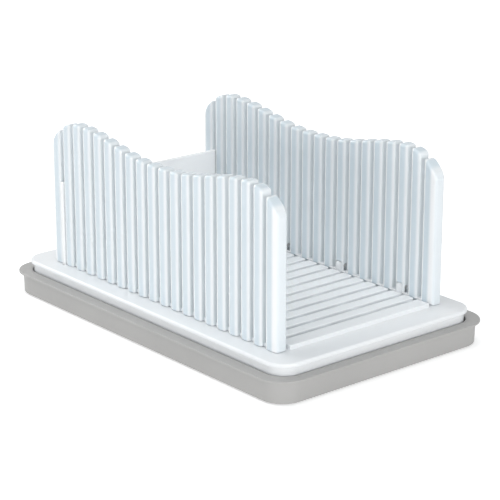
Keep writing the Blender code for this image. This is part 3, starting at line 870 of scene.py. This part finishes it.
def pin_mesh(name, at, length):
    """An upright pin with chamfered ends, laid down along Y."""
    half = length / 2
    shoulder = half - PIN_CHAMFER
    section = ((PIN_CHAMFER, -half), (0, -shoulder), (0, shoulder), (PIN_CHAMFER, half))
    rings = [disc(PIN_RADIUS - inset, height, Vector()) for inset, height in section]
    mesh = loft_mesh(name, [rings])
    mesh.transform(Matrix.Translation(at) @ Matrix.Rotation(pi / 2, 4, "X"))
    return mesh


hinge_pins = []
for label in ("left", "right"):
    for number in range(1, 5):
        node = f"{label}_hinge_pin_{number}"
        low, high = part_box(node)
        mesh = pin_mesh(f"{label}_pin_{number}", node_middle(node), high.y - low.y)
        hinge_pins.append(finish_piece(mesh.name, mesh, "board", node))

# %% [markdown]
# ## Finishes
#
# There are two white plastics, a grey one, rubber and steel. Each finish is built from nodes on
# the object's own coordinates, so it stays on the piece when a wall folds. A few small helpers
# write a node tree in a few lines: each makes a node, sets its plain inputs, and returns what
# comes out of it.

# %% Node helpers


def new_finish(name):
    finish = bpy.data.materials.new(name)
    finish.use_nodes = True
    tree = finish.node_tree
    return finish, tree, tree.nodes["Principled BSDF"]


def add_node(tree, kind, **values):
    """Adds a node. Values named like an input set that input, and others set a property."""
    node = tree.nodes.new(kind)
    for name, value in values.items():
        label = name.replace("_", " ").title()
        if label in node.inputs:
            node.inputs[label].default_value = value
        else:
            setattr(node, name, value)
    return node


def maths(tree, operation, value, second=0.0):
    """A Math node on a link. The second value is a plain number or another link."""
    node = add_node(tree, "ShaderNodeMath", operation=operation)
    tree.links.new(value, node.inputs[0])
    if isinstance(second, (int, float)):
        node.inputs[1].default_value = second
    else:
        tree.links.new(second, node.inputs[1])
    return node.outputs[0]


def ramp(tree, value, start, end, low=0.0, high=1.0, kind="SMOOTHSTEP"):
    """Goes from low at start to high at end."""
    ends = {"from_min": start, "from_max": end, "to_min": low, "to_max": high}
    node = add_node(tree, "ShaderNodeMapRange", interpolation_type=kind, **ends)
    tree.links.new(value, node.inputs["Value"])
    return node.outputs["Result"]


def object_place(tree):
    return tree.nodes.new("ShaderNodeTexCoord").outputs["Object"]


def object_space(tree, scale=(1, 1, 1)):
    mapping = add_node(tree, "ShaderNodeMapping", scale=scale)
    tree.links.new(object_place(tree), mapping.inputs["Vector"])
    return mapping.outputs["Vector"]


# %% Noise, colour and bump helpers
NOISE_LOW, NOISE_HIGH = 0.3, 0.7
BLEND_START, BLEND_END = 0.35, 0.65


def noise(tree, space, scale, detail=3.0):
    node = add_node(tree, "ShaderNodeTexNoise", scale=scale, detail=detail)
    tree.links.new(space, node.inputs["Vector"])
    return node.outputs["Fac"]


def spread(tree, value, low, high):
    """Maps a noise value onto a range."""
    return ramp(tree, value, NOISE_LOW, NOISE_HIGH, low, high, kind="LINEAR")


def blend_colours(tree, value, first, second):
    node = tree.nodes.new("ShaderNodeValToRGB")
    stops = ((BLEND_START, first), (BLEND_END, second))
    for element, (position, colour) in zip(node.color_ramp.elements, stops):
        element.position = position
        element.color = (*colour, 1)
    tree.links.new(value, node.inputs["Fac"])
    return node.outputs["Color"]


def bump(tree, value, depth, under=None):
    node = add_node(tree, "ShaderNodeBump", strength=1.0, distance=depth)
    tree.links.new(value, node.inputs["Height"])
    if under:
        tree.links.new(under, node.inputs["Normal"])
    return node.outputs["Normal"]


print("noise is used from", NOISE_LOW, "to", NOISE_HIGH)

# %% [markdown]
# The white mouldings are glossy. Polished steel moulds leave long shallow ripples and a trace of
# orange peel, which break up reflections without dulling them. The plastic is also slightly see-
# through near the surface, so a little subsurface light softens the shade in the slots. The combs
# are a bluer, darker white than the board, whose white is set lighter partly as painted light, so
# that its skirt under the lip stays light. The bright edges of the fins are a painted highlight:
# the comb's colour is blended towards a lighter white by the distance from the middle of a fin, the
# rear edge has the narrower band, and the blend is weaker deep in the slots, as painted shade, and
# at the front end of the wall.

# %% Painted highlights on the fin edges
# Painted highlight: a lighter white blended onto both edges of each fin, with the reach and depth
# of its bands below.
FIN_EDGE_HIGHLIGHT_WHITE = (0.972, 0.983, 0.990)
FRONT_HIGHLIGHT_REACH = (1.3 * MM, FIN_LENGTH / 2)
REAR_HIGHLIGHT_REACH = (1.7 * MM, 3.0 * MM)
HIGHLIGHT_DEPTHS = (1.6 * MM, 0.4 * MM)
END_HIGHLIGHT_FADE = 3.0 * MM
# The painted highlight is weaker deep in the slots, which paints shade there, and weaker at the
# front end.
HIGHLIGHT_SHARE_IN_SLOTS = 0.62
HIGHLIGHT_SHARE_ON_END = 0.75


def painted_fin_edge_highlight(tree, tint):
    """Blends a lighter colour into the tint along fin edges as a painted highlight, weaker inside
    the slots as painted shade.
    """
    axes = tree.nodes.new("ShaderNodeSeparateXYZ")
    tree.links.new(object_place(tree), axes.inputs["Vector"])
    from_rear_slot = maths(tree, "SUBTRACT", axes.outputs["Y"], REAR_SLOT_Y)
    pitches = maths(tree, "FRACT", maths(tree, "DIVIDE", from_rear_slot, SLOT_PITCH))
    to_rear = maths(tree, "SUBTRACT", pitches, 0.5)
    to_front = maths(tree, "MULTIPLY", to_rear, -1)
    near_front = ramp(tree, to_front, *(distance / SLOT_PITCH for distance in FRONT_HIGHLIGHT_REACH))
    near_rear = ramp(tree, to_rear, *(distance / SLOT_PITCH for distance in REAR_HIGHLIGHT_REACH))
    near_slot = maths(tree, "MAXIMUM", near_front, near_rear)
    half_thickness = (WALL_OUTER_X - WALL_INNER_X) / 2
    across = maths(tree, "ABSOLUTE", axes.outputs["X"])
    off_middle = maths(tree, "SUBTRACT", across, WALL_INNER_X + half_thickness)
    depths = (half_thickness - depth for depth in HIGHLIGHT_DEPTHS)
    near_face = ramp(tree, maths(tree, "ABSOLUTE", off_middle), *depths, low=HIGHLIGHT_SHARE_IN_SLOTS)
    past_end = WALL_FRONT_Y + END_HIGHLIGHT_FADE
    off_end = ramp(tree, axes.outputs["Y"], WALL_FRONT_Y, past_end, low=HIGHLIGHT_SHARE_ON_END)
    share = maths(tree, "MULTIPLY", maths(tree, "MULTIPLY", near_slot, near_face), off_end)
    blend = add_node(tree, "ShaderNodeMix", data_type="RGBA")
    tree.links.new(share, blend.inputs["Factor"])
    tree.links.new(tint, blend.inputs["A"])
    blend.inputs["B"].default_value = (*FIN_EDGE_HIGHLIGHT_WHITE, 1)
    return blend.outputs["Result"]


for label, band in (("front", FRONT_HIGHLIGHT_REACH), ("rear", REAR_HIGHLIGHT_REACH)):
    print(label, "band, mm from the middle:", [round(value / MM, 1) for value in band])

# %% White plastic
WALL_WHITE = (0.712, 0.792, 0.840)
WALL_WHITE_SHADE = (0.697, 0.779, 0.830)
# The board's white is set lighter than the combs', partly as painted light that keeps its skirt
# under the lip light.
BOARD_LIGHTENED_WHITE = (0.925, 0.947, 0.963)
BOARD_LIGHTENED_WHITE_SHADE = (0.910, 0.937, 0.957)
RIPPLE_DEPTH = 0.06 * MM
PEEL_DEPTH = 0.004 * MM
LIGHT_REACH = 1.5 * MM
LIGHT_SHARE = 0.3
GLOSS_ROUGHNESS = (0.17, 0.25)
GLOSS_IOR = 1.5


def white_plastic(name, shade, colour, painted_edge_highlight=False):
    finish, tree, shader = new_finish(name)
    space = object_space(tree)
    tint = blend_colours(tree, noise(tree, space, 22), shade, colour)
    # The combs get the painted highlight along their fin edges.
    if painted_edge_highlight:
        tint = painted_fin_edge_highlight(tree, tint)
    tree.links.new(tint, shader.inputs["Base Color"])
    roughness = spread(tree, noise(tree, space, 160), *GLOSS_ROUGHNESS)
    tree.links.new(roughness, shader.inputs["Roughness"])
    ripple = bump(tree, noise(tree, space, 30, detail=1), RIPPLE_DEPTH)
    peel = bump(tree, noise(tree, space, 900, detail=2), PEEL_DEPTH, under=ripple)
    tree.links.new(peel, shader.inputs["Normal"])
    shader.inputs["IOR"].default_value = GLOSS_IOR
    shader.inputs["Subsurface Weight"].default_value = LIGHT_SHARE
    shader.inputs["Subsurface Radius"].default_value = (1.0, 1.0, 1.0)
    shader.inputs["Subsurface Scale"].default_value = LIGHT_REACH
    return finish


wall_gloss = white_plastic("comb_white_gloss", WALL_WHITE_SHADE, WALL_WHITE, painted_edge_highlight=True)
board_gloss = white_plastic("board_white_gloss", BOARD_LIGHTENED_WHITE_SHADE, BOARD_LIGHTENED_WHITE)
print("white plastics:", wall_gloss.name, "and", board_gloss.name)

# %% [markdown]
# The tray is satin. Its mould was spark-eroded, which leaves a fine even grain that scatters
# highlights.

# %% Grey plastic
GREY = (0.455, 0.448, 0.436)
GREY_SHADE = (0.435, 0.428, 0.418)
GRAIN_DEPTH = 0.012 * MM
SWELL_DEPTH = 0.05 * MM
SATIN_ROUGHNESS = (0.40, 0.52)
SATIN_IOR = 1.48


def grey_plastic():
    finish, tree, shader = new_finish("grey_plastic_satin")
    space = object_space(tree)
    tint = blend_colours(tree, noise(tree, space, 14), GREY_SHADE, GREY)
    tree.links.new(tint, shader.inputs["Base Color"])
    roughness = spread(tree, noise(tree, space, 300), *SATIN_ROUGHNESS)
    tree.links.new(roughness, shader.inputs["Roughness"])
    grain = bump(tree, noise(tree, space, 2200, detail=2), GRAIN_DEPTH)
    swell = bump(tree, noise(tree, space, 25, detail=1), SWELL_DEPTH, under=grain)
    tree.links.new(swell, shader.inputs["Normal"])
    shader.inputs["IOR"].default_value = SATIN_IOR
    return finish


grey_satin = grey_plastic()
print("grey plastic:", grey_satin.name)

# %% [markdown]
# Rubber is nearly black and dull, with a dusty bloom in patches. The pins are ground steel: fine
# lines run round them, so the grain is a noise that is stretched across their length.

# %% Rubber and pin steel
RUBBER_BLACK = (0.035, 0.035, 0.036)
RUBBER_BLOOM = (0.075, 0.074, 0.072)
RUBBER_ROUGHNESS = (0.68, 0.85)
RUBBER_GRAIN_DEPTH = 0.02 * MM
STEEL_DARK = (0.52, 0.52, 0.51)
STEEL_LIGHT = (0.68, 0.68, 0.67)
STEEL_ROUGHNESS = (0.22, 0.38)
STEEL_GRAIN_DEPTH = 0.006 * MM
GRAIN_STRETCH = (1, 12, 1)


def rubber():
    finish, tree, shader = new_finish("foot_rubber_matt")
    space = object_space(tree)
    tint = blend_colours(tree, noise(tree, space, 180, detail=5), RUBBER_BLACK, RUBBER_BLOOM)
    tree.links.new(tint, shader.inputs["Base Color"])
    roughness = spread(tree, noise(tree, space, 400), *RUBBER_ROUGHNESS)
    tree.links.new(roughness, shader.inputs["Roughness"])
    grain = bump(tree, noise(tree, space, 1800), RUBBER_GRAIN_DEPTH)
    tree.links.new(grain, shader.inputs["Normal"])
    return finish


def ground_steel():
    finish, tree, shader = new_finish("pin_steel_ground")
    space = object_space(tree, scale=GRAIN_STRETCH)
    tint = blend_colours(tree, noise(tree, space, 700), STEEL_DARK, STEEL_LIGHT)
    tree.links.new(tint, shader.inputs["Base Color"])
    roughness = spread(tree, noise(tree, space, 900), *STEEL_ROUGHNESS)
    tree.links.new(roughness, shader.inputs["Roughness"])
    grain = bump(tree, noise(tree, space, 1200), STEEL_GRAIN_DEPTH)
    tree.links.new(grain, shader.inputs["Normal"])
    shader.inputs["Metallic"].default_value = 1
    return finish


rubber_matt = rubber()
pin_steel = ground_steel()
print("rubber and steel:", rubber_matt.name, "and", pin_steel.name)

# %% Dress the pieces
dressed = [
    (board_gloss, [base_board]),
    (wall_gloss, [left_wall, right_wall, rear_plate]),
    (grey_satin, [crumb_tray]),
    (rubber_matt, rubber_feet),
    (pin_steel, hinge_pins),
]
for finish, pieces in dressed:
    for piece in pieces:
        piece.data.materials.clear()
        piece.data.materials.append(finish)
    print(finish.name, "on", len(pieces), "pieces")
slot_finish = {
    "white_plastic": wall_gloss,
    "grey_plastic": grey_satin,
    "foot_rubber": rubber_matt,
    "pin_steel": pin_steel,
}
slot_of = {part["node"]: part["material_slot"] for part in frame["record"]["subparts"]}
for node in frame["nodes"].values():
    node.data.materials.clear()
    node.data.materials.append(slot_finish[slot_of[node.name]])

# %% [markdown]
# ## Floor and light
#
# The photograph has a plain white ground with hardly any shadow. The floor is pale, and camera
# rays see it a little brighter than it is lit, more so far away, where less lamp light arrives.
# It turns white away from the guide and keeps a faint shadow beside it. The sky is a soft dome.
# Only camera, glossy and transmission rays see it as plain white.

# %% Floor
WHITE = (1, 1, 1, 1)
FLOOR_PAPER = (0.88, 0.88, 0.88, 1)
FLOOR_REACH = 6.0
FLOOR_GLOW = 0.22
CAMERA_GLOW_NEAR, CAMERA_GLOW_FAR = 0.30, 0.70
GLOW_START, GLOW_END = 0.5, 2.5


def pale_floor():
    finish, tree, shader = new_finish("pale_floor")
    tree.nodes.remove(shader)
    rays = tree.nodes.new("ShaderNodeLightPath")
    away = add_node(tree, "ShaderNodeVectorMath", operation="LENGTH")
    tree.links.new(object_place(tree), away.inputs[0])
    glow_ends = (GLOW_START, GLOW_END, CAMERA_GLOW_NEAR, CAMERA_GLOW_FAR)
    extra = ramp(tree, away.outputs["Value"], *glow_ends)
    for_camera = maths(tree, "MULTIPLY", rays.outputs["Is Camera Ray"], extra)
    glow = add_node(tree, "ShaderNodeEmission", color=WHITE)
    tree.links.new(maths(tree, "ADD", for_camera, FLOOR_GLOW), glow.inputs["Strength"])
    paper = add_node(tree, "ShaderNodeBsdfDiffuse", color=FLOOR_PAPER)
    together = tree.nodes.new("ShaderNodeAddShader")
    tree.links.new(paper.outputs[0], together.inputs[0])
    tree.links.new(glow.outputs[0], together.inputs[1])
    tree.links.new(together.outputs[0], tree.nodes["Material Output"].inputs["Surface"])
    return finish


floor_mesh = bpy.data.meshes.new("floor")
corners = [(x * FLOOR_REACH, y * FLOOR_REACH, 0) for x, y in ((-1, -1), (1, -1), (1, 1), (-1, 1))]
floor_mesh.from_pydata(corners, [], [(0, 1, 2, 3)])
floor_mesh.materials.append(pale_floor())
floor = new_object("floor", floor_mesh)
floor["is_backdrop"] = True
print("floor:", 2 * FLOOR_REACH, "m wide")

# %% Dome
DOME_COLOUR = (0.93, 0.97, 1.0, 1)
DOME_STRENGTH = 0.35

world = bpy.data.worlds.new("soft_dome")
bpy.context.scene.world = world
world.use_nodes = True
tree = world.node_tree
dome = tree.nodes["Background"]
dome.inputs["Color"].default_value = DOME_COLOUR
dome.inputs["Strength"].default_value = DOME_STRENGTH
white_ground = add_node(tree, "ShaderNodeBackground", color=WHITE, strength=1.0)
rays = tree.nodes.new("ShaderNodeLightPath").outputs
seen = maths(tree, "MAXIMUM", rays["Is Camera Ray"], rays["Is Glossy Ray"])
chooser = tree.nodes.new("ShaderNodeMixShader")
tree.links.new(maths(tree, "MAXIMUM", seen, rays["Is Transmission Ray"]), chooser.inputs[0])
tree.links.new(dome.outputs[0], chooser.inputs[1])
tree.links.new(white_ground.outputs[0], chooser.inputs[2])
tree.links.new(chooser.outputs[0], tree.nodes["World Output"].inputs["Surface"])
print("dome strength:", DOME_STRENGTH)

# %% [markdown]
# Four large softboxes shape the mouldings. A low one on the camera's left reaches under the lip
# of the board, so that the skirt below it stays light. One in front whitens the ends of the
# walls. One stands high behind, lights the far edges of the fins and is weak enough for the
# plate's rear to keep its shade. The last hangs overhead for the board and the crowns. All are
# broad, so no shadow has a hard edge.

# %% Softboxes
GUIDE_MIDDLE = Vector((0, 0, 0.06))


def softbox(name, location, size, power):
    """A rectangular lamp in metres and watts that faces the guide."""
    lamp = bpy.data.lights.new(name, "AREA")
    lamp.shape = "RECTANGLE"
    lamp.size, lamp.size_y = size
    lamp.energy = power
    holder = new_object(name, lamp)
    holder.location = location
    direction = GUIDE_MIDDLE - Vector(location)
    holder.rotation_euler = direction.to_track_quat("-Z", "Y").to_euler()
    holder.visible_camera = False
    print(f"{name}: {power} W, {direction.length:.2f} m away")


softbox("left_softbox", (-1.45, -0.3, 0.12), (1.4, 0.4), 6.1)
softbox("front_softbox", (-0.2, -1.5, 0.35), (0.9, 0.6), 8.0)
softbox("rear_softbox", (-0.5, 1.3, 0.8), (0.9, 0.7), 8.2)
softbox("top_softbox", (-0.1, 0.0, 1.6), (1.0, 1.0), 7.3)

# %% [markdown]
# ## Sizes
#
# The box round the solids and the box round the dressed pieces are both printed. The dressed
# pieces must not outgrow the solids.

# %% Print both boxes
bpy.context.scene.view_settings.view_transform = "Standard"
dressed_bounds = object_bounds()
sizes = {
    "cad": [[float(value) for value in corner] for corner in cad_bounds],
    "visual": [[float(value) for value in corner] for corner in dressed_bounds],
}
for label, (low, high) in sizes.items():
    print(label, "box, mm:", [round((b - a) / MM, 1) for a, b in zip(low, high)])
